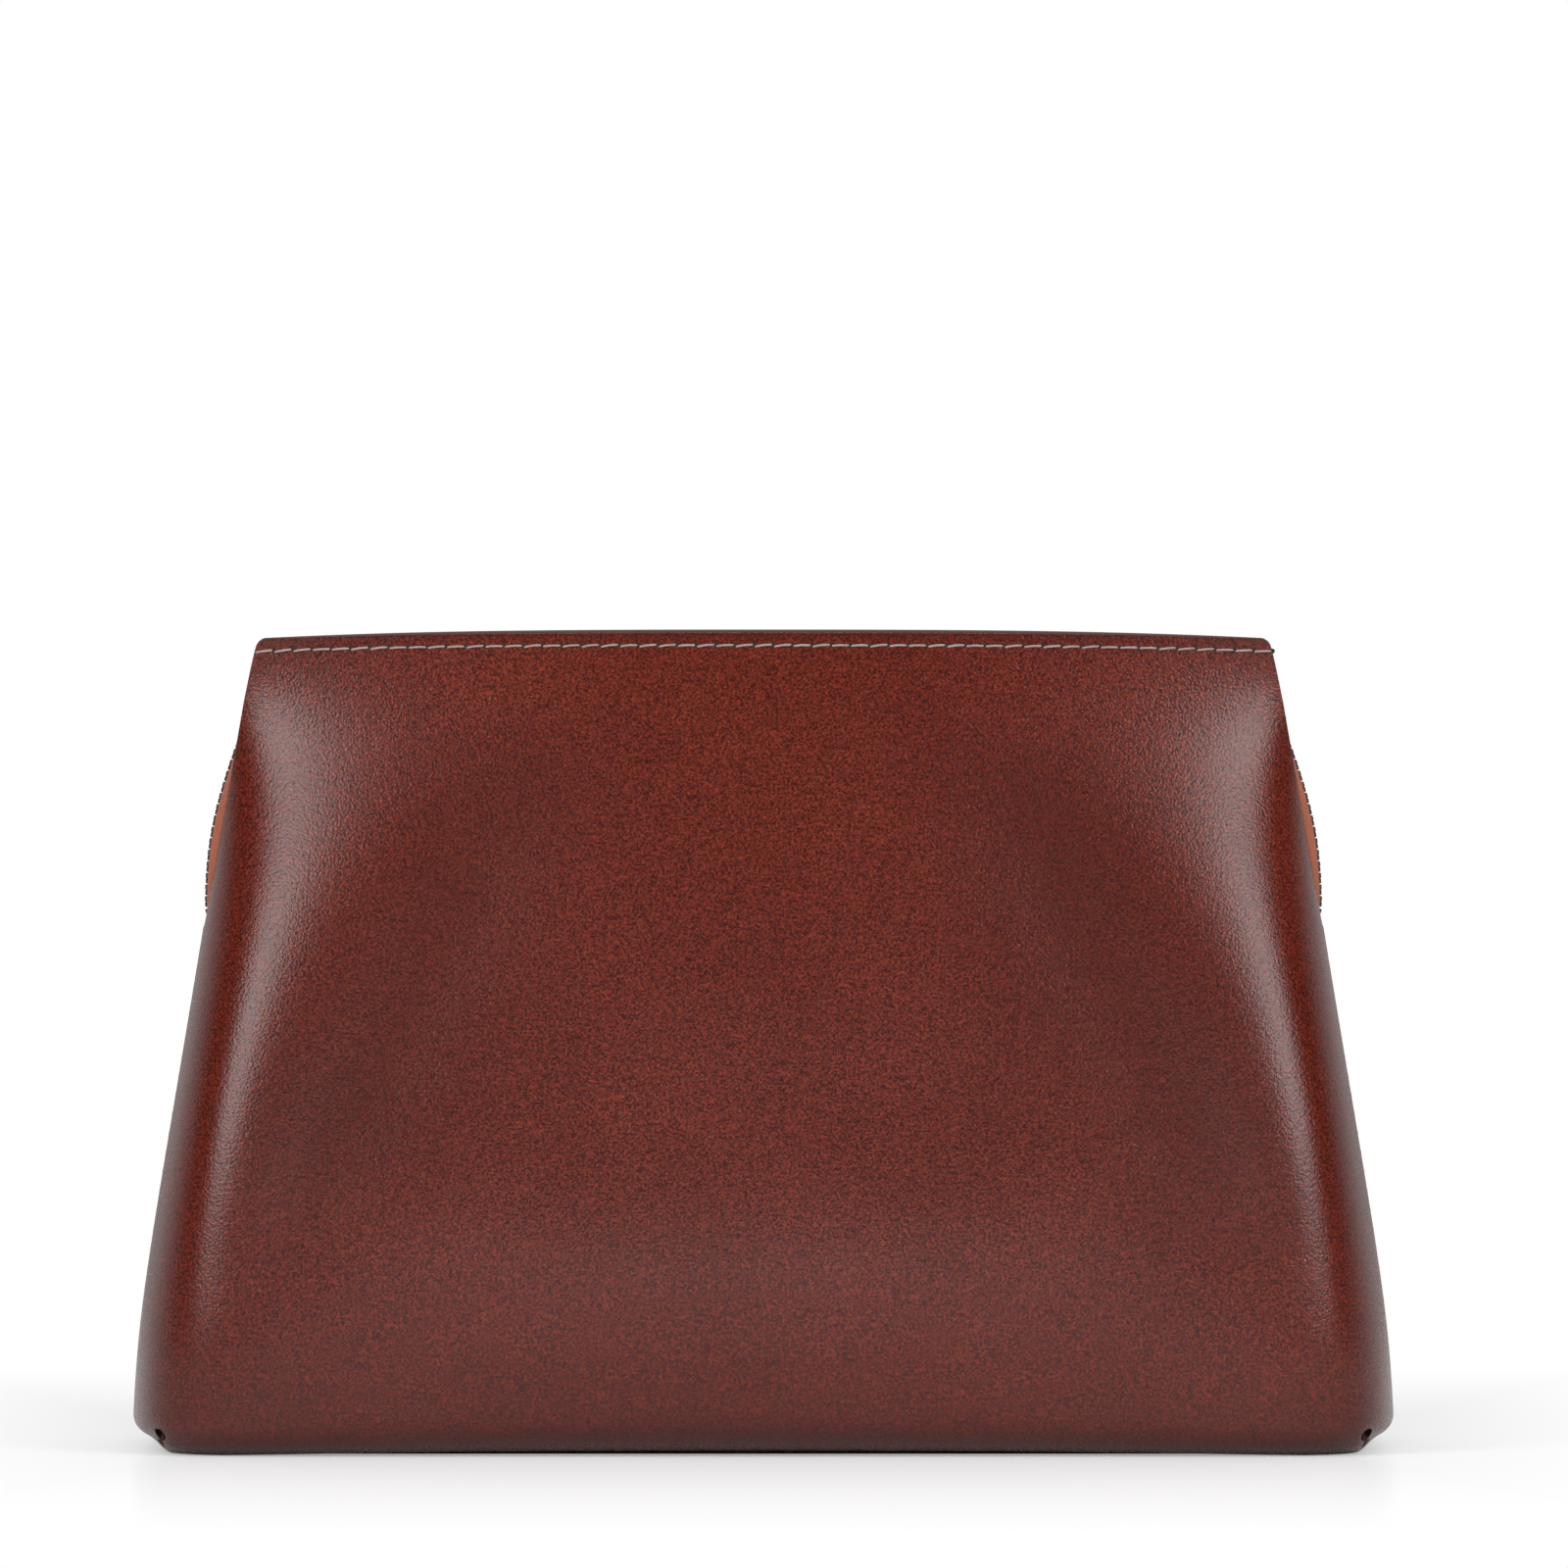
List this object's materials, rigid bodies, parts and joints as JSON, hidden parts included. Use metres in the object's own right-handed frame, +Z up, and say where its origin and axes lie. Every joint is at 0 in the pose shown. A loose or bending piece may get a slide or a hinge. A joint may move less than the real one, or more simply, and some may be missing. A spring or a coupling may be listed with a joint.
{
  "type": "crossbody bag",
  "caption": "Trapezoid leather pouch bag with a recessed top zip that runs down both ends, paired zip sliders, and rear D-rings for a strap.",
  "frame": {"origin": "middle of the underside, on the surface the bag stands on", "axes": "+X along the width, -Y the pictured front panel, +Z up"},
  "size_m": [0.2624, 0.094, 0.1703],
  "materials": {
    "body_leather": "smooth dark brown, satin",
    "trim_leather": "smooth dark brown, satin",
    "lining": "plain twill",
    "board": "matt sheet",
    "zip_tape": "woven tape, orange tan",
    "zip_metal": "dark oxidised",
    "slider_metal": "dark polished"
  },
  "bodies": {
    "bag": {"front_panel": "body_leather", "rear_panel": "body_leather", "base_panel": "body_leather", "base_board": "board", "lining_front": "lining", "lining_rear": "lining", "zip_tape_front": "zip_tape", "zip_tape_rear": "zip_tape", "zip_teeth_front": "zip_metal", "zip_teeth_rear": "zip_metal", "zip_stop_left": "zip_metal", "zip_stop_right": "zip_metal", "ring_loop_left": "trim_leather", "ring_loop_right": "trim_leather"},
    "slider_left": {"slider_left": "slider_metal"},
    "slider_right": {"slider_right": "slider_metal"},
    "pull_left": {"pull_link_left": "slider_metal", "pull_tab_left": "trim_leather"},
    "pull_right": {"pull_link_right": "slider_metal", "pull_tab_right": "trim_leather"},
    "ring_left": {"strap_ring_left": "slider_metal"},
    "ring_right": {"strap_ring_right": "slider_metal"}
  },
  "joints": [
    {"name": "zip_left", "type": "slide", "parent": "bag", "child": "slider_left", "axis": [-1, 0, 0], "range_m": [0, 0.072], "deforming": ["zip_teeth_front", "zip_teeth_rear"]},
    {"name": "zip_right", "type": "slide", "parent": "bag", "child": "slider_right", "axis": [1, 0, 0], "range_m": [0, 0.072], "deforming": ["zip_teeth_front", "zip_teeth_rear"]},
    {"name": "pull_left_turn", "type": "hinge", "parent": "slider_left", "child": "pull_left", "pos_m": [-0.008, 0, 0.1655], "axis": [0, 1, 0], "range_deg": [0, 150]},
    {"name": "pull_right_turn", "type": "hinge", "parent": "slider_right", "child": "pull_right", "pos_m": [0.008, 0, 0.1655], "axis": [0, -1, 0], "range_deg": [0, 150]},
    {"name": "ring_left_swing", "type": "hinge", "parent": "bag", "child": "ring_left", "pos_m": [-0.072, 0.01863, 0.152], "axis": [1, 0, 0], "range_deg": [0, 150]},
    {"name": "ring_right_swing", "type": "hinge", "parent": "bag", "child": "ring_right", "pos_m": [0.072, 0.01863, 0.152], "axis": [1, 0, 0], "range_deg": [0, 150]}
  ]
}
